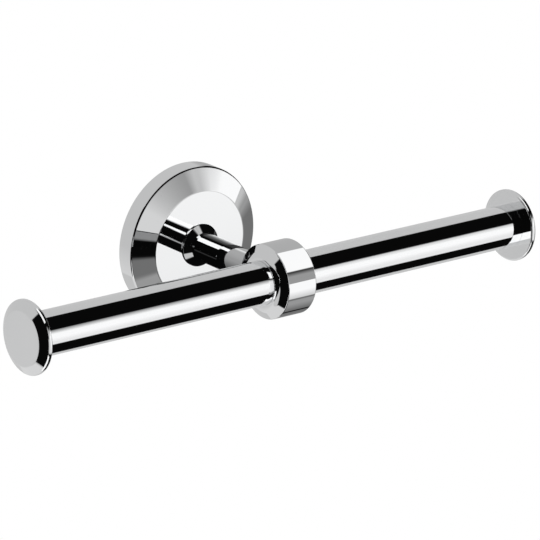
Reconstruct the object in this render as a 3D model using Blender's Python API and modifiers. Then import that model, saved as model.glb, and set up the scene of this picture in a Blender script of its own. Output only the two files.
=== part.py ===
# Chrome double toilet roll holder on one wall post
# x runs along the arms, -y leaves the wall, z is up, and the wall is the plane y = 0
import math

import bmesh
import bpy

# Gaps that keep the pieces apart, in metres
seat_gap = 0.0003
fit_gap = 0.0003

# Arms: the bar tubes and the discs that keep the rolls on
arm_reach = 0.123
bar_radius = 0.009
bar_wall = 0.0012
disc_radius = 0.01505
disc_rim_width = 0.0019
disc_cone_depth = 0.0024
disc_flat_radius = 0.0113

# Hub that joins both arms to the post
hub_radius = 0.0153
hub_rim_width = 0.014
hub_cone_depth = 0.0023
hub_flat_radius = 0.0101
hub_shoulder_radius = 0.0124
hub_shoulder_depth = 0.0006
hub_projection = 0.063

# Post and the coned collar at its foot
post_radius = 0.006
collar_radius = 0.009
collar_rim_height = 0.0006
collar_cone_height = 0.0014

# Rosette that covers the wall bracket
rosette_radius = 0.032
rosette_rim_depth = 0.0076
rosette_bevel_depth = 0.0046
rosette_flat_radius = 0.0228
rosette_wall = 0.0022

# Wall bracket inside the rosette
bracket_floor = 0.002
bracket_rim_wall = 0.0024
slot_width = 0.004
slot_length = 0.008
slot_place_share = 0.62
groove_depth = 0.0009
groove_margin = 0.0004

# Set screw under the rosette
set_screw_radius = 0.0015
set_screw_recess = 0.0002
set_screw_socket = 0.0015
set_screw_socket_depth = 0.0012

# Bolt, washer and pin that hold the post to the rosette
bolt_radius = 0.0025
bolt_head_radius = 0.00425
bolt_head_height = 0.0035
bolt_grip = 0.012
bolt_socket = 0.003
bolt_socket_depth = 0.002
washer_radius = 0.0052
washer_thickness = 0.001
pin_radius = 0.0009
pin_depth = 0.004

# Threaded rods and inserts, drawn at their outer diameter
post_stud_radius = 0.0025
post_stud_grip = 0.008
tie_rod_radius = 0.004
hub_insert_length = 0.02
end_stud_radius = 0.003
end_stud_seat = 0.0028
end_insert_length = 0.015
blind_hole_spare = 0.001

# Edges and facets
edge_break = 0.0003
disc_edge_break = 0.0006
thread_chamfer = 0.0005
cut_overrun = 0.001
merge_distance = 0.00001
round_segments = 64
small_segments = 32
hex_sides = 6
sharp_angle = math.radians(30)

# Places that follow from the sizes, as distances from the wall or from the hub's centre
rosette_depth = rosette_rim_depth + rosette_bevel_depth
rosette_inside = rosette_depth - rosette_wall
rosette_slope = (rosette_radius - rosette_flat_radius) / rosette_bevel_depth
rosette_bore = rosette_radius - rosette_wall
rosette_inner_flat_radius = rosette_flat_radius - rosette_wall / 2
rosette_bore_depth = rosette_inside - (rosette_bore - rosette_inner_flat_radius) / rosette_slope
collar_back = rosette_depth + seat_gap
collar_rim_front = collar_back + collar_rim_height
collar_front = collar_rim_front + collar_cone_height
post_back = collar_front + seat_gap
washer_front = rosette_inside - seat_gap
washer_back = washer_front - washer_thickness
bolt_head_front = washer_back - seat_gap
bolt_end = post_back + bolt_grip
bolt_hole_radius = bolt_radius + fit_gap
bracket_radius = rosette_bore - fit_gap
bracket_height = rosette_bore_depth - seat_gap
bracket_bore = bracket_radius - bracket_rim_wall
set_screw_height = bracket_height / 2
hub_half_width = hub_rim_width / 2
hub_face = hub_half_width + hub_cone_depth
bar_start = hub_face + seat_gap
bar_end = arm_reach - seat_gap
bar_bore = bar_radius - bar_wall
insert_radius = bar_bore - fit_gap
disc_front = arm_reach + disc_rim_width + disc_cone_depth
pin_place = (bolt_hole_radius + post_radius) / 2

# How a turned piece is laid: its own z axis goes out from the wall, or out along an arm
from_wall = (math.pi / 2, 0, 0)
along_right = (0, math.pi / 2, 0)
along_left = (0, -math.pi / 2, 0)
hub_centre = (0, -hub_projection, 0)


def new_material(name, colour, roughness):
    made = bpy.data.materials.new(name)
    made.use_nodes = True
    shader = made.node_tree.nodes["Principled BSDF"]
    shader.inputs["Base Color"].default_value = (*colour, 1)
    shader.inputs["Metallic"].default_value = 1
    shader.inputs["Roughness"].default_value = roughness
    return made


def new_object(name, mesh, collection, place, turn):
    made = bpy.data.objects.new(name, mesh)
    made.location = place
    made.rotation_euler = turn
    collection.objects.link(made)
    return made


# A profile of (radius, height) points goes down its outer side, and a ring's comes back up its bore
def turned(name, profile, finish, place, turn, ring=False, steps=round_segments):
    mesh = bpy.data.meshes.new(name)
    points = [(radius, 0, height) for radius, height in profile]
    edges = [(i, i + 1) for i in range(len(points) - 1)]
    if ring:
        edges.append((len(points) - 1, 0))
    mesh.from_pydata(points, edges, [])
    made = new_object(name, mesh, parts, place, turn)
    screw = made.modifiers.new("Turn", "SCREW")
    screw.axis = "Z"
    screw.angle = 2 * math.pi
    screw.steps = steps
    screw.render_steps = steps
    screw.use_merge_vertices = True
    screw.merge_threshold = merge_distance
    mesh.materials.append(finish)
    return made


# A solid rod with chamfered ends, from low to high along its own z
def rod_profile(radius, low, high, chamfer):
    return [
        (0, high),
        (radius - chamfer, high),
        (radius, high - chamfer),
        (radius, low + chamfer),
        (radius - chamfer, low),
        (0, low),
    ]


# A tube or ring with its outer edges broken
def ring_profile(outer, bore, low, high, chamfer):
    return [
        (outer - chamfer, high),
        (outer, high - chamfer),
        (outer, low + chamfer),
        (outer - chamfer, low),
        (bore, low),
        (bore, high),
    ]


def cylinder_cutter(name, radius, low, high, place, turn, sides=small_segments, stretch=0):
    mesh = bpy.data.meshes.new(name)
    shape = bmesh.new()
    bmesh.ops.create_cone(
        shape, cap_ends=True, segments=sides, radius1=radius, radius2=radius, depth=high - low
    )
    for vert in shape.verts:
        vert.co.z += (high + low) / 2
        vert.co.y += math.copysign(stretch, vert.co.y)
    shape.to_mesh(mesh)
    shape.free()
    made = new_object(name, mesh, cutters, place, turn)
    made.hide_render = True
    made.display_type = "WIRE"
    return made


def cut(piece, cutter):
    boolean = piece.modifiers.new(cutter.name, "BOOLEAN")
    boolean.operation = "DIFFERENCE"
    boolean.solver = "EXACT"
    boolean.object = cutter


# Rosette: a rim, a straight bevel and a flat, hollow behind
def make_rosette():
    profile = [
        (bolt_hole_radius, rosette_depth),
        (rosette_flat_radius, rosette_depth),
        (rosette_radius - edge_break, rosette_rim_depth + edge_break / rosette_slope),
        (rosette_radius, rosette_rim_depth - edge_break),
        (rosette_radius, 0),
        (rosette_bore, 0),
        (rosette_bore, rosette_bore_depth),
        (rosette_inner_flat_radius, rosette_inside),
        (bolt_hole_radius, rosette_inside),
    ]
    rosette = turned("rosette", profile, chrome, (0, 0, 0), from_wall, ring=True)
    hole_place = (0, -set_screw_height, -bracket_radius)
    hole = cylinder_cutter(
        "set_screw_hole", set_screw_radius + fit_gap, -rosette_wall - cut_overrun, cut_overrun, hole_place, (0, 0, 0)
    )
    cut(rosette, hole)
    cut(rosette, pin_hole)


# Wall bracket: a cup with two upright slots and a groove that the set screw bites
def make_bracket():
    groove_half = set_screw_radius + groove_margin
    profile = [
        (0, bracket_floor),
        (bracket_bore, bracket_floor),
        (bracket_bore, bracket_height),
        (bracket_radius, bracket_height),
        (bracket_radius, set_screw_height + groove_half),
        (bracket_radius - groove_depth, set_screw_height + groove_half - groove_depth),
        (bracket_radius - groove_depth, set_screw_height - groove_half + groove_depth),
        (bracket_radius, set_screw_height - groove_half),
        (bracket_radius, 0),
        (0, 0),
    ]
    bracket = turned("wall_bracket", profile, zinc, (0, 0, 0), from_wall)
    for side, sign in (("right", 1), ("left", -1)):
        place = (sign * slot_place_share * bracket_bore, 0, 0)
        slot = cylinder_cutter(
            f"slot_{side}", slot_width / 2, -cut_overrun, bracket_floor + cut_overrun, place, from_wall,
            stretch=(slot_length - slot_width) / 2,
        )
        cut(bracket, slot)


# Set screw: from just inside the rosette's rim to just off the bottom of the groove
def make_set_screw():
    low = -rosette_radius + set_screw_recess
    high = -(bracket_radius - groove_depth) - seat_gap
    place = (0, -set_screw_height, 0)
    profile = rod_profile(set_screw_radius, low, high, edge_break)
    screw = turned("rosette_set_screw", profile, steel, place, (0, 0, 0), steps=small_segments)
    socket = cylinder_cutter(
        "set_screw_socket", set_screw_socket / math.sqrt(3), low - cut_overrun, low + set_screw_socket_depth,
        place, (0, 0, 0), sides=hex_sides,
    )
    cut(screw, socket)


# Bolt and washer inside the rosette, and the pin that stops the post turning
def make_post_fixings():
    head_back = bolt_head_front - bolt_head_height
    profile = [
        (0, bolt_end),
        (bolt_radius - thread_chamfer, bolt_end),
        (bolt_radius, bolt_end - thread_chamfer),
        (bolt_radius, bolt_head_front),
        (bolt_head_radius, bolt_head_front),
        (bolt_head_radius, head_back + edge_break),
        (bolt_head_radius - edge_break, head_back),
        (0, head_back),
    ]
    bolt = turned("post_bolt", profile, steel, (0, 0, 0), from_wall, steps=small_segments)
    socket = cylinder_cutter(
        "bolt_socket", bolt_socket / math.sqrt(3), head_back - cut_overrun, head_back + bolt_socket_depth,
        (0, 0, 0), from_wall, sides=hex_sides,
    )
    cut(bolt, socket)
    washer = ring_profile(washer_radius, bolt_hole_radius, washer_back, washer_front, edge_break / 2)
    turned("post_washer", washer, steel, (0, 0, 0), from_wall, ring=True, steps=small_segments)
    pin = rod_profile(pin_radius, rosette_inside, post_back + pin_depth, edge_break)
    turned("locating_pin", pin, steel, (0, 0, pin_place), from_wall, steps=small_segments)


# Collar and post: the collar narrows to the post, whose far end is cut to sit round the hub
def make_post():
    profile = [
        (post_radius, collar_front),
        (collar_radius, collar_rim_front),
        (collar_radius, collar_back),
        (bolt_hole_radius, collar_back),
        (bolt_hole_radius, collar_front),
    ]
    collar = turned("base_collar", profile, chrome, (0, 0, 0), from_wall, ring=True)
    cut(collar, pin_hole)
    stud_hole_radius = post_stud_radius + fit_gap
    stud_hole_end = hub_projection - hub_radius - seat_gap - post_stud_grip - blind_hole_spare
    bolt_hole_end = bolt_end + blind_hole_spare
    profile = [
        (stud_hole_radius, hub_projection),
        (post_radius, hub_projection),
        (post_radius, post_back),
        (bolt_hole_radius, post_back),
        (bolt_hole_radius, bolt_hole_end),
        (0, bolt_hole_end),
    ]
    core = [(0, stud_hole_end), (stud_hole_radius, stud_hole_end)]
    post = turned("post", core + profile, chrome, (0, 0, 0), from_wall)
    hub_clearance = cylinder_cutter(
        "hub_clearance", hub_radius + seat_gap, -hub_face, hub_face, hub_centre, along_right, sides=round_segments
    )
    cut(post, hub_clearance)
    cut(post, pin_hole)


# Stud that runs from the post into the hub
def make_post_stud():
    joint = hub_projection - hub_radius
    profile = rod_profile(post_stud_radius, joint - post_stud_grip, joint + post_stud_grip, thread_chamfer)
    turned("post_stud", profile, steel, (0, 0, 0), from_wall, steps=small_segments)


# Hub: a turned ring whose sides are flat round the bars and slope away in two steps outside that, with a bore
# for the tie rod and a blind hole at the back for the post's stud
def make_hub():
    bore = tie_rod_radius + fit_gap
    half = [
        (bore, hub_face),
        (hub_flat_radius, hub_face),
        (hub_shoulder_radius, hub_face - hub_shoulder_depth),
        (hub_radius - edge_break / 2, hub_half_width + edge_break / 2),
        (hub_radius, hub_half_width - edge_break / 2),
    ]
    profile = half + [(radius, -height) for radius, height in reversed(half)]
    hub = turned("hub", profile, chrome, hub_centre, along_right, ring=True)
    hole = cylinder_cutter(
        "hub_stud_hole", post_stud_radius + fit_gap, hub_projection - hub_radius - cut_overrun,
        hub_projection - hub_radius + post_stud_grip + seat_gap, (0, 0, 0), from_wall,
    )
    cut(hub, hole)
    rod_end = hub_insert_length + bar_start - blind_hole_spare
    rod = rod_profile(tie_rod_radius, -rod_end, rod_end, thread_chamfer)
    turned("tie_rod", rod, steel, hub_centre, along_right, steps=small_segments)


# One arm: its tube, the inserts in both ends, and the disc on its stud
def make_arm(side, turn):
    tube = ring_profile(bar_radius, bar_bore, bar_start, bar_end, edge_break / 2)
    turned(f"bar_tube_{side}", tube, chrome, hub_centre, turn, ring=True)
    insert_end = bar_start + hub_insert_length
    insert = ring_profile(insert_radius, tie_rod_radius + fit_gap, bar_start, insert_end, edge_break)
    turned(f"hub_insert_{side}", insert, brass, hub_centre, turn, ring=True, steps=small_segments)
    insert_start = bar_end - end_insert_length
    insert = ring_profile(insert_radius, end_stud_radius + fit_gap, insert_start, bar_end, edge_break)
    turned(f"end_insert_{side}", insert, brass, hub_centre, turn, ring=True, steps=small_segments)
    stud_end = arm_reach + end_stud_seat
    stud = rod_profile(end_stud_radius, insert_start, stud_end, thread_chamfer)
    turned(f"end_stud_{side}", stud, steel, hub_centre, turn, steps=small_segments)
    stud_hole = end_stud_radius + fit_gap
    profile = [
        (0, disc_front),
        (disc_flat_radius, disc_front),
        (disc_radius - edge_break / 2, disc_front - disc_cone_depth + edge_break / 2),
        (disc_radius, disc_front - disc_cone_depth - edge_break / 2),
        (disc_radius, arm_reach + disc_edge_break),
        (disc_radius - disc_edge_break, arm_reach),
        (stud_hole, arm_reach),
        (stud_hole, stud_end + seat_gap),
        (0, stud_end + seat_gap),
    ]
    turned(f"end_disc_{side}", profile, chrome, hub_centre, turn)


# Replaces each piece's live modifiers with the shape they make, and shades it smooth between sharp edges
def settle_pieces():
    bpy.context.view_layer.update()
    graph = bpy.context.evaluated_depsgraph_get()
    shapes = [bpy.data.meshes.new_from_object(piece.evaluated_get(graph)) for piece in parts.objects]
    for piece, shape in zip(parts.objects, shapes):
        piece.modifiers.clear()
        piece.data = shape
        shape.name = piece.name
        shape.shade_smooth()
        shape.set_sharp_from_angle(angle=sharp_angle)


for old in list(bpy.data.objects):
    bpy.data.objects.remove(old, do_unlink=True)

parts = bpy.data.collections.new("toilet_roll_holder")
cutters = bpy.data.collections.new("cutters")
for collection in (parts, cutters):
    bpy.context.scene.collection.children.link(collection)

chrome = new_material("chrome", (0.78, 0.79, 0.8), 0.04)
zinc = new_material("zinc", (0.55, 0.56, 0.58), 0.45)
steel = new_material("steel", (0.5, 0.5, 0.52), 0.3)
brass = new_material("brass", (0.75, 0.58, 0.28), 0.3)

pin_hole = cylinder_cutter(
    "pin_hole", pin_radius + fit_gap, rosette_inside - cut_overrun, post_back + pin_depth + seat_gap,
    (0, 0, pin_place), from_wall, sides=small_segments,
)
make_rosette()
make_bracket()
make_set_screw()
make_post_fixings()
make_post()
make_post_stud()
make_hub()
make_arm("right", along_right)
make_arm("left", along_left)
settle_pieces()
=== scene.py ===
import math

import bmesh
import bpy
from mathutils import Matrix, Vector


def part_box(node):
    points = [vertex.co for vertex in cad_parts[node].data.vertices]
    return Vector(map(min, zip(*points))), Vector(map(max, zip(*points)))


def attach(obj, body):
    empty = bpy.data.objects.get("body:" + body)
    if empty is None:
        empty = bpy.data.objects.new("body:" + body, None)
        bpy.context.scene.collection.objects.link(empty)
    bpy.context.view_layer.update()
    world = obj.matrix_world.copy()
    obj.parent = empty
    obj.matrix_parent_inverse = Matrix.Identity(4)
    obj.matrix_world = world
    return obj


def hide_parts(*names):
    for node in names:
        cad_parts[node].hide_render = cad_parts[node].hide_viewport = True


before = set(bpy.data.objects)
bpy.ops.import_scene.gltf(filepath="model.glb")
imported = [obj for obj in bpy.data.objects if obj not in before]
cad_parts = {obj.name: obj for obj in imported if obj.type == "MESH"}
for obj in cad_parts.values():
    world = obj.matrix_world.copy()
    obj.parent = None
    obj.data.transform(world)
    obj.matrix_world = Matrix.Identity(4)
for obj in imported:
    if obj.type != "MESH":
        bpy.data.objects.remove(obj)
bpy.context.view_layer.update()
print("frame loaded with", len(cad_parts), "nodes")

# The wall is y = 0, the room is towards -y, and the arms run along x. Places come off the frame's own boxes.
hubLow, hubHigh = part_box("hub")
armCentre = (hubLow + hubHigh) / 2
wallCentre = Vector((0, 0, 0))
rightWay = Vector((1, 0, 0))
leftWay = Vector((-1, 0, 0))
offWall = Vector((0, -1, 0))
upWay = Vector((0, 0, 1))
fineness = {
    "turns": 192, "cornerSteps": 6, "holeSides": 48, "mergeWithin": 0.000001, "sharpAngle": math.radians(30),
    "normalWeight": 100,
}


# Finishes: noise runs over the middle of its range only, and in more detail for gloss and grain than for tone
noiseSpec = {"low": 0.3, "high": 0.7, "toneDetail": 2.0, "glossDetail": 6.0, "grainDetail": 4.0}


def newMaterial(name):
    material = bpy.data.materials.new(name)
    material.use_nodes = True
    nodes = material.node_tree.nodes
    return material, nodes, material.node_tree.links, nodes["Principled BSDF"]


def noiseOn(nodes, links, scale, detail):
    place = nodes.new("ShaderNodeTexCoord")
    noise = nodes.new("ShaderNodeTexNoise")
    noise.inputs["Scale"].default_value = scale
    noise.inputs["Detail"].default_value = detail
    links.new(place.outputs["Object"], noise.inputs["Vector"])
    return noise.outputs["Fac"]


def noiseToRange(nodes, links, fac, low, high):
    spread = nodes.new("ShaderNodeMapRange")
    spread.inputs["From Min"].default_value = noiseSpec["low"]
    spread.inputs["From Max"].default_value = noiseSpec["high"]
    spread.inputs["To Min"].default_value = low
    spread.inputs["To Max"].default_value = high
    links.new(fac, spread.inputs["Value"])
    return spread.outputs["Result"]


def noiseToColour(nodes, links, fac, dark, light):
    ramp = nodes.new("ShaderNodeValToRGB")
    ramp.color_ramp.elements[0].position = noiseSpec["low"]
    ramp.color_ramp.elements[0].color = (*dark, 1)
    ramp.color_ramp.elements[1].position = noiseSpec["high"]
    ramp.color_ramp.elements[1].color = (*light, 1)
    links.new(fac, ramp.inputs["Fac"])
    return ramp.outputs["Color"]


def metalFinish(name, spec):
    material, nodes, links, shader = newMaterial(name)
    shader.inputs["Metallic"].default_value = 1.0
    tone = noiseOn(nodes, links, spec["toneScale"], noiseSpec["toneDetail"])
    links.new(noiseToColour(nodes, links, tone, spec["dark"], spec["light"]), shader.inputs["Base Color"])
    wipe = noiseOn(nodes, links, spec["glossScale"], noiseSpec["glossDetail"])
    links.new(noiseToRange(nodes, links, wipe, *spec["roughness"]), shader.inputs["Roughness"])
    if spec["grain"]:
        bump = nodes.new("ShaderNodeBump")
        bump.inputs["Strength"].default_value = spec["grain"]
        bump.inputs["Distance"].default_value = spec["grainDepth"]
        grain = noiseOn(nodes, links, spec["grainScale"], noiseSpec["grainDetail"])
        links.new(grain, bump.inputs["Height"])
        links.new(bump.outputs["Normal"], shader.inputs["Normal"])
    return material


chromePlate = {
    "toneScale": 30, "dark": (0.785, 0.79, 0.795), "light": (0.805, 0.81, 0.815),
    "glossScale": 400, "roughness": (0.012, 0.03), "grain": 0,
}
castZinc = {
    "toneScale": 220, "dark": (0.42, 0.43, 0.45), "light": (0.6, 0.61, 0.63),
    "glossScale": 900, "roughness": (0.38, 0.58), "grain": 0.5, "grainDepth": 0.0001, "grainScale": 2200,
}
plainSteel = {
    "toneScale": 300, "dark": (0.45, 0.45, 0.47), "light": (0.58, 0.58, 0.6),
    "glossScale": 1500, "roughness": (0.22, 0.36), "grain": 0.2, "grainDepth": 0.00005, "grainScale": 3000,
}
turnedBrass = {
    "toneScale": 300, "dark": (0.66, 0.47, 0.2), "light": (0.8, 0.62, 0.32),
    "glossScale": 1500, "roughness": (0.22, 0.36), "grain": 0.2, "grainDepth": 0.00005, "grainScale": 3000,
}
chrome = metalFinish("chromePlate", chromePlate)
zinc = metalFinish("castZinc", castZinc)
steel = metalFinish("plainSteel", plainSteel)
brass = metalFinish("turnedBrass", turnedBrass)
print("finishes made")


# Turned pieces: an outline of (distance along the axis, radius, corner radius) is spun once round

def spin(outline, centre, along, ring=False):
    shape = bmesh.new()
    side = upWay
    corners = [shape.verts.new(centre + along * far + side * out) for far, out, soft in outline]
    for first, second in zip(corners, corners[1:]):
        shape.edges.new((first, second))
    if ring:
        shape.edges.new((corners[-1], corners[0]))
    for corner, (far, out, soft) in zip(corners, outline):
        if soft:
            bmesh.ops.bevel(
                shape, geom=[corner], offset=soft, offset_type="OFFSET", affect="VERTICES",
                segments=fineness["cornerSteps"], profile=0.5, material=-1,
            )
    bmesh.ops.spin(
        shape, geom=shape.verts[:] + shape.edges[:], cent=centre, axis=along, dvec=(0, 0, 0),
        angle=2 * math.pi, steps=fineness["turns"], use_merge=True,
    )
    bmesh.ops.remove_doubles(shape, verts=shape.verts, dist=fineness["mergeWithin"])
    bmesh.ops.recalc_face_normals(shape, faces=shape.faces)
    return shape


def newObject(name, shape):
    mesh = bpy.data.meshes.new(name)
    shape.to_mesh(mesh)
    shape.free()
    thing = bpy.data.objects.new(name, mesh)
    bpy.context.scene.collection.objects.link(thing)
    return thing


def cutHoles(piece, holes):
    for hole in holes:
        cutter = newObject("cutter", hole)
        cut = piece.modifiers.new("cut", "BOOLEAN")
        cut.operation = "DIFFERENCE"
        cut.solver = "EXACT"
        cut.object = cutter
        bpy.context.view_layer.update()
        shaped = piece.evaluated_get(bpy.context.evaluated_depsgraph_get())
        piece.data = bpy.data.meshes.new_from_object(shaped)
        piece.modifiers.remove(cut)
        bpy.data.objects.remove(cutter)


def newPiece(name, shape, material, node, holes=()):
    piece = newObject(name, shape)
    piece.data.materials.append(material)
    cutHoles(piece, holes)
    piece.data.shade_smooth()
    piece.data.set_sharp_from_angle(angle=fineness["sharpAngle"])
    evenNormals = piece.modifiers.new("evenNormals", "WEIGHTED_NORMAL")
    evenNormals.weight = fineness["normalWeight"]
    evenNormals.keep_sharp = True
    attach(piece, "root")
    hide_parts(node)
    return piece


# Rosette, hollow behind, with the set screw's hole under its rim
rosetteSpec = {
    "rimDepth": 0.0076, "flatRadius": 0.0228, "wall": 0.0022, "boltHole": 0.0028,
    "rimCorner": 0.0007, "flatCorner": 0.0003, "backCorner": 0.0002, "screwHole": 0.0018, "cutWalls": 4,
}


def makeRosette(spec):
    low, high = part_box("rosette")
    depth, radius = -low.y, high.z
    wall = spec["wall"]
    inside = depth - wall
    innerFlat = spec["flatRadius"] - wall / 2
    slope = (radius - spec["flatRadius"]) / (depth - spec["rimDepth"])
    innerRim = inside - (radius - wall - innerFlat) / slope
    outline = [
        (0, radius, spec["backCorner"]),
        (spec["rimDepth"], radius, spec["rimCorner"]),
        (depth, spec["flatRadius"], spec["flatCorner"]),
        (depth, spec["boltHole"], 0),
        (inside, spec["boltHole"], 0),
        (inside, innerFlat, 0),
        (innerRim, radius - wall, 0),
        (0, radius - wall, spec["backCorner"]),
    ]
    screwLow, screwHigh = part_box("rosette_set_screw")
    screwAway = -(screwLow.y + screwHigh.y) / 2
    hole = bmesh.new()
    bmesh.ops.create_cone(
        hole, cap_ends=True, segments=fineness["holeSides"], radius1=spec["screwHole"], radius2=spec["screwHole"],
        depth=spec["cutWalls"] * wall, matrix=Matrix.Translation(offWall * screwAway - upWay * radius),
    )
    shape = spin(outline, wallCentre, offWall, ring=True)
    return newPiece("rosetteShell", shape, chrome, "rosette", holes=[hole])


rosette = makeRosette(rosetteSpec)

# Wall bracket: a shallow cup with a groove round it and two upright slots
bracketSpec = {
    "floor": 0.002, "rimWall": 0.0024, "groove": 0.0009, "grooveHalf": 0.0019, "corner": 0.00015,
    "slotWidth": 0.004, "slotLength": 0.008, "slotAt": 0.0168, "cutFloors": 6,
}


def makeBracket(spec):
    low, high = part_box("wall_bracket")
    height, radius = -low.y, high.z
    bore = radius - spec["rimWall"]
    middle, half, groove, soft = height / 2, spec["grooveHalf"], spec["groove"], spec["corner"]
    outline = [
        (0, 0, 0), (0, radius, soft), (middle - half, radius, soft), (middle - half + groove, radius - groove, 0),
        (middle + half - groove, radius - groove, 0), (middle + half, radius, soft), (height, radius, soft),
        (height, bore, soft), (spec["floor"], bore, soft), (spec["floor"], 0, 0),
    ]
    slots = []
    for side in (-1, 1):
        slot = bmesh.new()
        bmesh.ops.create_cone(
            slot, cap_ends=True, segments=fineness["holeSides"], radius1=spec["slotWidth"] / 2,
            radius2=spec["slotWidth"] / 2, depth=spec["cutFloors"] * spec["floor"],
            matrix=Matrix.Rotation(math.pi / 2, 4, "X"),
        )
        stretch = (spec["slotLength"] - spec["slotWidth"]) / 2
        upper = [vert for vert in slot.verts if vert.co.z > 0]
        lower = [vert for vert in slot.verts if vert.co.z <= 0]
        bmesh.ops.translate(slot, verts=upper, vec=upWay * stretch)
        bmesh.ops.translate(slot, verts=lower, vec=upWay * -stretch)
        bmesh.ops.translate(slot, verts=slot.verts, vec=rightWay * side * spec["slotAt"])
        slots.append(slot)
    shape = spin(outline, wallCentre, offWall)
    return newPiece("wallBracketCup", shape, zinc, "wall_bracket", holes=slots)


makeBracket(bracketSpec)
print("rosette and bracket made")

# Post and its collar, and the hub
postSpec = {"collarRim": 0.0006, "rimCorner": 0.0001, "collarBore": 0.0028}
hubSpec = {"rimHalf": 0.007, "flatRadius": 0.0113, "bore": 0.0043, "rimCorner": 0.0003, "shoulder": 0.0013}


def makePost(spec):
    collarHigh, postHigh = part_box("base_collar")[1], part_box("post")[1]
    rosetteFront = -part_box("rosette")[0].y
    postFoot, postRadius = -postHigh.y, postHigh.z
    outline = [
        (rosetteFront, spec["collarBore"], 0), (rosetteFront, collarHigh.z, 0),
        (rosetteFront + spec["collarRim"], collarHigh.z, spec["rimCorner"]),
        (postFoot, postRadius, 0), (postFoot, spec["collarBore"], 0),
    ]
    shape = spin(outline, wallCentre, offWall, ring=True)
    collar = newPiece("postCollar", shape, chrome, "base_collar")
    outline = [(postFoot, 0, 0), (postFoot, postRadius, 0), (-armCentre.y, postRadius, 0), (-armCentre.y, 0, 0)]
    shape = spin(outline, wallCentre, offWall)
    hubRadius = hubHigh.z
    for vert in shape.verts:
        if vert.co.y < armCentre.y + postRadius:      # the far end, shaped to sit on the hub
            vert.co.y = armCentre.y + math.sqrt(hubRadius ** 2 - vert.co.z ** 2)
    return collar, newPiece("postRod", shape, chrome, "post")


def makeHub(spec):
    faceHalf, radius = hubHigh.x, hubHigh.z
    outline = []
    for side in (-1, 1):
        half = [
            (side * faceHalf, spec["bore"], 0),
            (side * faceHalf, spec["flatRadius"], spec["shoulder"]),
            (side * spec["rimHalf"], radius, spec["rimCorner"]),
        ]
        outline += half if side < 0 else half[::-1]
    return newPiece("hubRing", spin(outline, armCentre, rightWay, ring=True), chrome, "hub")


post = makePost(postSpec)
hub = makeHub(hubSpec)

# Arms: a tube and a coned disc each
armSpec = {
    "tubeWall": 0.0012, "tubeCorner": 0.00005, "hubEndCorner": 0.0003, "rimWidth": 0.0019, "flatRadius": 0.0113,
    "coneCorner": 0.0006, "flatCorner": 0.0003, "backCorner": 0.0008, "studHole": 0.0033, "studDepth": 0.003,
}


def makeArm(side, way, spec):
    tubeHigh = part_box(f"bar_tube_{side}")[1]
    discLow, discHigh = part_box(f"end_disc_{side}")
    barRadius, discRadius = tubeHigh.z, discHigh.z
    discBack, discFront = sorted((abs(discLow.x), abs(discHigh.x)))
    outline = [
        (hubHigh.x, barRadius, spec["hubEndCorner"]), (discBack, barRadius, spec["tubeCorner"]),
        (discBack, barRadius - spec["tubeWall"], 0), (hubHigh.x, barRadius - spec["tubeWall"], 0),
    ]
    newPiece(f"armTube_{side}", spin(outline, armCentre, way, ring=True), chrome, f"bar_tube_{side}")
    outline = [
        (discBack + spec["studDepth"], 0, 0), (discBack + spec["studDepth"], spec["studHole"], 0),
        (discBack, spec["studHole"], 0), (discBack, discRadius, spec["backCorner"]),
        (discBack + spec["rimWidth"], discRadius, spec["coneCorner"]),
        (discFront, spec["flatRadius"], spec["flatCorner"]), (discFront, 0, 0),
    ]
    newPiece(f"armDisc_{side}", spin(outline, armCentre, way), chrome, f"end_disc_{side}")


makeArm("right", rightWay, armSpec)
makeArm("left", leftWay, armSpec)
print("post, hub and arms made")

# Pieces inside keep their frame shape and get their own metal
for name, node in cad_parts.items():
    if node.hide_render:
        continue
    node.data.materials.clear()
    node.data.materials.append(brass if "insert" in name else steel)


# Studio: a pale floor, a soft lamp, and balls of grey, black and white cards that only reflections see. The arms
# with their discs, the rosette, the hub, and the post with its collar have a ball each.
tentKit = {"subdivisions": 4, "plate": 0.8, "blend": 1, "softAlong": 0.25, "pastFirstMirror": 1.5}

# Plain studio tones, as they look in chrome on a scale of 255. The lamp tone makes up for a second mirror.
tones = {"black": 8, "dark": 60, "shade": 110, "grey": 150, "mist": 170, "pale": 190, "light": 210, "bright": 230,
         "white": 250, "lamp": 280}

# Each column is a list of cards (degrees, tone) round the arms' axis: 0 is behind the wall, 90 overhead, 180 out
# in the room and 270 below. A card begins at its angle and ends where the next begins, and a third number is its
# blend in degrees.
farLeftCards = [(60, "black"), (285, "pale")]
leftCards = [(80, "black"), (213, "lamp"), (248, "light", 6), (315, "pale", 30)]
nearLeftCards = [(80, "black"), (228, "light", 4), (315, "pale", 30)]
middleCards = [
    (79, "black"), (139, "grey", 9), (150, "light", 18), (186, "black", 3), (201, "shade", 3), (216, "grey", 3),
    (226, "black", 2), (279, "pale"),
]
leftBarCards = [
    (77, "black"), (149, "grey", 3), (153, "white", 17), (190, "bright", 20), (222, "black"), (286, "pale"),
]
rightBarCards = [
    (80, "black"), (150, "light", 5), (156, "white", 14), (188, "bright", 20), (225, "black"), (280, "pale"),
]
farRightCards = [
    (136, "white", 16), (158, "pale", 28), (191, "grey", 24), (228, "shade", 30), (285, "black", 15),
]
hubCards = [
    (75, "white"), (143, "dark", 2), (148, "grey", 11), (160, "white", 20), (205, "light", 20), (228, "shade", 2),
    (234, "grey", 2), (248, "shade", 26), (278, "black", 3), (285, "shade", 5), (305, "mist", 50),
]
hubAgainCards = [
    (80, "black"), (150, "white", 10), (209, "grey", 6), (222, "black", 3), (248, "lamp", 3), (260, "light", 6),
    (315, "pale", 30),
]
bevelCards = [
    (79, "black"), (141, "pale", 5), (182, "white", 15), (200, "light", 12), (225, "black"), (279, "pale"),
]
darkCards = [(0, "black")]
barMirroredCards = [(133, "black"), (345, "grey", 35)]
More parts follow.
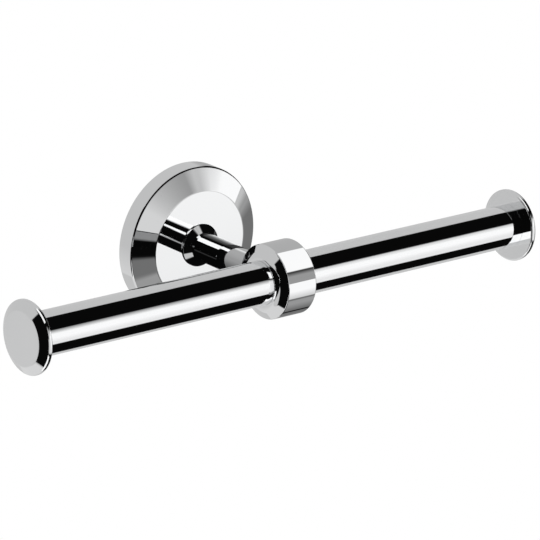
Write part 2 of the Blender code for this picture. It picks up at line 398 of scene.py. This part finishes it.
postCards = [
    (25, "pale", 50), (80, "black"), (136, "pale", 2), (142, "black", 2), (217, "pale", 2), (233, "black", 2),
    (285, "dark", 10), (305, "grey", 70),
]
postRightCards = [
    (31, "bright", 6), (80, "black"), (136, "pale"), (140, "black"), (275, "dark", 15), (305, "mist", 70),
]
postFarRightCards = [(40, "pale", 35), (80, "black"), (275, "dark", 15), (305, "mist", 70)]
mirroredPostCards = [(193, "pale", 4), (199, "black", 4)]
mirroredPostRightCards = [(139, "lamp", 6), (196, "black", 12)]
postOnFlatCards = [(198, "dark", 2), (202, "black", 3)]
postOnFlatRightCards = [
    (130, "shade", 10), (148, "light", 24), (174, "white", 14), (196, "black", 15), (280, "dark", 20),
]
discLeftCards = [(80, "black"), (279, "pale")]
discNearLeftCards = [
    (80, "black"), (172, "pale", 6), (207, "grey", 8), (216, "black", 2), (222, "white", 2), (276, "light", 3),
    (315, "pale", 30),
]
discMiddleCards = [
    (79, "black"), (139, "grey", 9), (150, "light", 18), (214, "black", 3), (222, "white", 2), (274, "light", 3),
    (315, "pale", 30),
]
discRightCards = [(79, "black"), (139, "grey", 9), (150, "light", 18), (214, "black", 2), (279, "pale")]
discBackCards = [(76, "black", 10), (216, "lamp", 2), (265, "light", 3), (345, "pale", 20)]
armAgainCards = [(80, "black"), (248, "lamp", 3), (262, "light", 6), (315, "pale", 30)]

# A column joins the one on its left over this stretch of the ball's width, from -1 at the left to 1 at the right.
# An overhead card lies across the columns. Rays that another mirror has turned before see the cards under "again".
armTentSpec = {
    "radius": 3.0, "first": farLeftCards,
    "overhead": {"sides": (-0.6, 0.3), "turn": (80, 128), "tone": "white", "soft": 0.02},
    "columns": [
        (discLeftCards, -0.71, -0.69), (discNearLeftCards, -0.615, -0.6), (discMiddleCards, -0.235, -0.225),
        (discRightCards, 0.06, 0.1), (leftBarCards, 0.44, 0.5), (rightBarCards, 0.6, 0.61),
        (farRightCards, 0.7, 0.85),
    ],
    "again": {
        "first": farLeftCards,
        "columns": [
            (darkCards, -0.71, -0.7), (discBackCards, -0.66, -0.65), (armAgainCards, -0.61, -0.6),
            (darkCards, -0.5, -0.48), (barMirroredCards, -0.35, -0.31), (rightBarCards, 0.44, 0.55),
        ],
    },
}
rosetteTentSpec = {
    "radius": 2.9, "first": farLeftCards,
    "columns": [
        (leftCards, -0.71, -0.69), (nearLeftCards, -0.61, -0.57), (middleCards, -0.31, -0.29),
        (bevelCards, 0.44, 0.55), (farRightCards, 0.62, 0.75),
    ],
    "again": {
        "first": postOnFlatCards, "columns": [(postOnFlatRightCards, 0.18, 0.55)],
        "overhead": {"sides": (-0.42, -0.04), "turn": (75, 144), "tone": "lamp", "soft": 0.01},
    },
}
hubTentSpec = {
    "radius": 2.8, "first": darkCards,
    "overhead": {"sides": (-0.43, -0.07), "turn": (80, 146), "tone": "white", "soft": 0.01},
    "columns": [
        (farLeftCards, -0.97, -0.95), (leftCards, -0.71, -0.69), (nearLeftCards, -0.61, -0.57),
        (middleCards, -0.235, -0.225), (hubCards, 0.44, 0.55), (farRightCards, 0.7, 0.85),
    ],
    "again": {
        "first": farLeftCards,
        "columns": [(leftCards, -0.71, -0.69), (hubAgainCards, -0.61, -0.6), (hubCards, 0.44, 0.55)],
        "overhead": {"sides": (-0.61, -0.03), "turn": (112, 146), "tone": "lamp", "soft": 0.01},
    },
}
postTentSpec = {
    "radius": 2.6, "first": postCards,
    "columns": [(postRightCards, 0.2, 0.4), (postFarRightCards, 0.45, 0.5)],
    "again": {
        "first": mirroredPostCards, "columns": [(mirroredPostRightCards, 0.25, 0.32)],
        "overhead": {"sides": (-0.42, -0.2), "turn": (136, 143), "tone": "lamp", "soft": 0.01},
    },
}


def seenInMirrorsOnly(thing):
    thing.visible_camera = False
    thing.visible_diffuse = False
    thing.visible_shadow = False
    thing.visible_transmission = False


def cardLight(tone):      # the light that shows as this tone, from the screen's own curve, past the chrome's loss
    share = tones[tone] / 255
    light = share / 12.92 if share <= 0.04045 else ((share + 0.055) / 1.055) ** 2.4
    return (*[light / tentKit["plate"]] * 3, 1)


def calculate(nodes, links, operation, first, second):
    step = nodes.new("ShaderNodeMath")
    step.operation = operation
    links.new(first, step.inputs[0])
    links.new(second, step.inputs[1])
    return step.outputs["Value"]


def rangeOver(nodes, links, value, start, end):
    join = nodes.new("ShaderNodeMapRange")
    join.inputs["From Min"].default_value = start
    join.inputs["From Max"].default_value = end
    links.new(value, join.inputs["Value"])
    return join.outputs["Result"]


def window(nodes, links, value, low, high, soft):
    rise = rangeOver(nodes, links, value, low - soft, low + soft)
    fall = rangeOver(nodes, links, value, high + soft, high - soft)
    return calculate(nodes, links, "MULTIPLY", rise, fall)


def turnShare(angle):
    return (angle + 180) / 360


def cardRamp(nodes, links, turn, cards):
    ramp = nodes.new("ShaderNodeValToRGB")
    links.new(turn, ramp.inputs["Fac"])
    stops = ramp.color_ramp.elements
    stops.remove(stops[-1])
    edges = []
    for card, following in zip(cards, cards[1:] + cards[:1]):
        blend = card[2] if len(card) > 2 else tentKit["blend"]
        edges += [(card[0] + blend, card[1]), (following[0], card[1])]
    placed = sorted((turnShare(angle) % 1, tone) for angle, tone in edges)
    for index, (place, tone) in enumerate(placed):
        stop = stops.new(place) if index else stops[0]
        stop.position = place
        stop.color = cardLight(tone)
    return ramp.outputs["Color"]


def mixCards(nodes, links, share, under, over):
    mix = nodes.new("ShaderNodeMix")
    mix.data_type = "RGBA"
    links.new(share, mix.inputs["Factor"])
    links.new(under, mix.inputs["A"])
    links.new(over, mix.inputs["B"])
    return mix.outputs["Result"]


def placeCards(nodes, links, sideways, turned, spec):
    cards = cardRamp(nodes, links, turned, spec["first"])
    for column, start, end in spec["columns"]:
        share = rangeOver(nodes, links, sideways, start, end)
        cards = mixCards(nodes, links, share, cards, cardRamp(nodes, links, turned, column))
    if "overhead" in spec:
        overhead = spec["overhead"]
        soft = overhead["soft"]
        across = window(nodes, links, sideways, *overhead["sides"], soft)
        edges = [turnShare(angle) for angle in overhead["turn"]]
        along = window(nodes, links, turned, *edges, soft * tentKit["softAlong"])
        share = calculate(nodes, links, "MULTIPLY", across, along)
        white = nodes.new("ShaderNodeRGB")
        white.outputs["Color"].default_value = cardLight(overhead["tone"])
        cards = mixCards(nodes, links, share, cards, white.outputs["Color"])
    return cards


def makeTent(name, spec, clear=False):
    shape = bmesh.new()
    bmesh.ops.create_icosphere(
        shape, subdivisions=tentKit["subdivisions"], radius=spec["radius"], matrix=Matrix.Translation(armCentre),
    )
    tent = newObject(name, shape)
    material, nodes, links, shader = newMaterial(name)
    place = nodes.new("ShaderNodeTexCoord")
    centred = nodes.new("ShaderNodeMapping")
    centred.inputs["Location"].default_value = -armCentre
    way = nodes.new("ShaderNodeVectorMath")
    way.operation = "NORMALIZE"
    parted = nodes.new("ShaderNodeSeparateXYZ")
    glow = nodes.new("ShaderNodeEmission")
    links.new(place.outputs["Object"], centred.inputs["Vector"])
    links.new(centred.outputs["Vector"], way.inputs[0])
    links.new(way.outputs["Vector"], parted.inputs["Vector"])
    angle = calculate(nodes, links, "ARCTAN2", parted.outputs["Z"], parted.outputs["Y"])
    sideways, turned = parted.outputs["X"], rangeOver(nodes, links, angle, -math.pi, math.pi)
    cards = placeCards(nodes, links, sideways, turned, spec)
    if "again" in spec:
        again = placeCards(nodes, links, sideways, turned, spec["again"])
        rays = nodes.new("ShaderNodeLightPath")
        twice = nodes.new("ShaderNodeMath")
        twice.operation = "GREATER_THAN"
        twice.inputs[1].default_value = tentKit["pastFirstMirror"]
        links.new(rays.outputs["Glossy Depth"], twice.inputs[0])
        cards = mixCards(nodes, links, twice.outputs["Value"], cards, again)
    links.new(cards, glow.inputs["Color"])
    surface = glow.outputs["Emission"]
    if clear:       # rays go on through it, so that it only adds its own light
        through = nodes.new("ShaderNodeBsdfTransparent")
        added = nodes.new("ShaderNodeAddShader")
        links.new(surface, added.inputs[0])
        links.new(through.outputs["BSDF"], added.inputs[1])
        surface = added.outputs["Shader"]
    links.new(surface, nodes["Material Output"].inputs["Surface"])
    tent.data.materials.append(material)
    seenInMirrorsOnly(tent)
    return tent


# Rays that come off the rosette's flat pass over the right arm, which the photograph's flat doesn't mirror
sheetSpec = {"away": 0.045, "onTo": 0.085, "leftEdge": -0.015, "half": 0.5}


def makePassingSheet(spec):
    shape = bmesh.new()
    place = Matrix.Translation(offWall * spec["away"] + rightWay * (spec["leftEdge"] + spec["half"]))
    turned = Matrix.Rotation(-math.pi / 2, 4, "X")      # faces the wall
    bmesh.ops.create_grid(shape, x_segments=1, y_segments=1, size=spec["half"], matrix=place @ turned)
    sheet = newObject("passingSheet", shape)
    material, nodes, links, shader = newMaterial("passingSheet")
    place = nodes.new("ShaderNodeNewGeometry")
    onward = nodes.new("ShaderNodeVectorMath")
    onward.inputs[1].default_value = offWall * (spec["onTo"] - spec["away"])
    passing = nodes.new("ShaderNodeBsdfRayPortal")
    through = nodes.new("ShaderNodeBsdfTransparent")
    mix = nodes.new("ShaderNodeMixShader")
    links.new(place.outputs["Position"], onward.inputs[0])
    links.new(onward.outputs["Vector"], passing.inputs["Position"])
    links.new(place.outputs["Backfacing"], mix.inputs["Fac"])
    links.new(passing.outputs["BSDF"], mix.inputs[1])
    links.new(through.outputs["BSDF"], mix.inputs[2])
    links.new(mix.outputs["Shader"], nodes["Material Output"].inputs["Surface"])
    sheet.data.materials.append(material)
    seenInMirrorsOnly(sheet)


def lightOnly(light, name, state, *pieces):
    chosen = bpy.data.collections.new(name)
    for piece in pieces:
        chosen.objects.link(piece)
    for entry in chosen.collection_objects:
        entry.light_linking.link_state = state
    light.light_linking.receiver_collection = chosen


# The floor looks white to the camera and in mirrors, and catches light like pale paper otherwise
floorSpec = {"level": -3.2, "size": 40.0, "colour": (0.9, 0.9, 0.9, 1), "roughness": 0.8}


def makeFloor(spec):
    shape = bmesh.new()
    below = Matrix.Translation(upWay * spec["level"])
    bmesh.ops.create_grid(shape, x_segments=1, y_segments=1, size=spec["size"], matrix=below)
    floor = newObject("studioFloor", shape)
    material, nodes, links, shader = newMaterial("paleFloor")
    shader.inputs["Base Color"].default_value = spec["colour"]
    shader.inputs["Roughness"].default_value = spec["roughness"]
    seen = nodes.new("ShaderNodeLightPath")
    glow = nodes.new("ShaderNodeEmission")
    mix = nodes.new("ShaderNodeMixShader")
    white = seen.outputs["Is Camera Ray"]
    for ray in ("Is Glossy Ray", "Is Transmission Ray"):
        white = calculate(nodes, links, "MAXIMUM", white, seen.outputs[ray])
    links.new(white, mix.inputs["Fac"])
    links.new(shader.outputs["BSDF"], mix.inputs[1])
    links.new(glow.outputs["Emission"], mix.inputs[2])
    links.new(mix.outputs["Shader"], nodes["Material Output"].inputs["Surface"])
    floor.data.materials.append(material)


worldSpec = {"colour": (1, 1, 1, 1), "strength": 1.0}


def makeWorld(spec):
    world = bpy.data.worlds.new("softWhite")
    world.use_nodes = True
    background = world.node_tree.nodes["Background"]
    background.inputs["Color"].default_value = spec["colour"]
    background.inputs["Strength"].default_value = spec["strength"]
    bpy.context.scene.world = world


lampSpec = {"place": (-1.2, -1.6, 1.8), "size": 1.6, "power": 30}


def makeLamp(spec):
    lamp = bpy.data.lights.new("softLamp", "AREA")
    lamp.size = spec["size"]
    lamp.energy = spec["power"]
    stand = bpy.data.objects.new("softLamp", lamp)
    stand.location = spec["place"]
    stand.rotation_euler = (armCentre - Vector(spec["place"])).to_track_quat("-Z", "Y").to_euler()
    stand.visible_glossy = False
    bpy.context.scene.collection.objects.link(stand)


armTent = makeTent("armTent", armTentSpec)
lightOnly(armTent, "allButTheseThree", "EXCLUDE", rosette, hub, *post)
rosetteTent = makeTent("rosetteTent", rosetteTentSpec, clear=True)
lightOnly(rosetteTent, "rosetteAlone", "INCLUDE", rosette)
hubTent = makeTent("hubTent", hubTentSpec, clear=True)
lightOnly(hubTent, "hubAlone", "INCLUDE", hub)
postTent = makeTent("postTent", postTentSpec, clear=True)
lightOnly(postTent, "postAlone", "INCLUDE", *post)
makePassingSheet(sheetSpec)
makeFloor(floorSpec)
makeWorld(worldSpec)
makeLamp(lampSpec)
print("studio made")

# Camera, where the photograph was taken from: angles in degrees, lengths in metres
cameraSpec = {
    "azimuth": -39.742, "elevation": 18.878, "roll": 2.029, "distance": 1.86644,
    "target": (-0.004542, -0.063, 0.004596), "lens": 312.11, "sensor": 36.0, "clipEnd": 100,
}


def makeCamera(spec):
    azimuth, elevation, roll = (math.radians(spec[key]) for key in ("azimuth", "elevation", "roll"))
    flat = math.cos(elevation)
    back = Vector((math.sin(azimuth) * flat, -math.cos(azimuth) * flat, math.sin(elevation)))
    level = upWay.cross(back).normalized()
    rise = back.cross(level)
    across = level * math.cos(roll) + rise * math.sin(roll)
    up = rise * math.cos(roll) - level * math.sin(roll)
    data = bpy.data.cameras.new("camera")
    data.lens = spec["lens"]
    data.sensor_width = spec["sensor"]
    data.clip_end = spec["clipEnd"]
    camera = bpy.data.objects.new("camera", data)
    turned = Matrix((across, up, back)).transposed()
    camera.matrix_world = Matrix.Translation(Vector(spec["target"]) + back * spec["distance"]) @ turned.to_4x4()
    bpy.context.scene.collection.objects.link(camera)
    bpy.context.scene.camera = camera


makeCamera(cameraSpec)
bpy.context.scene.view_settings.view_transform = "Standard"
print("camera placed")
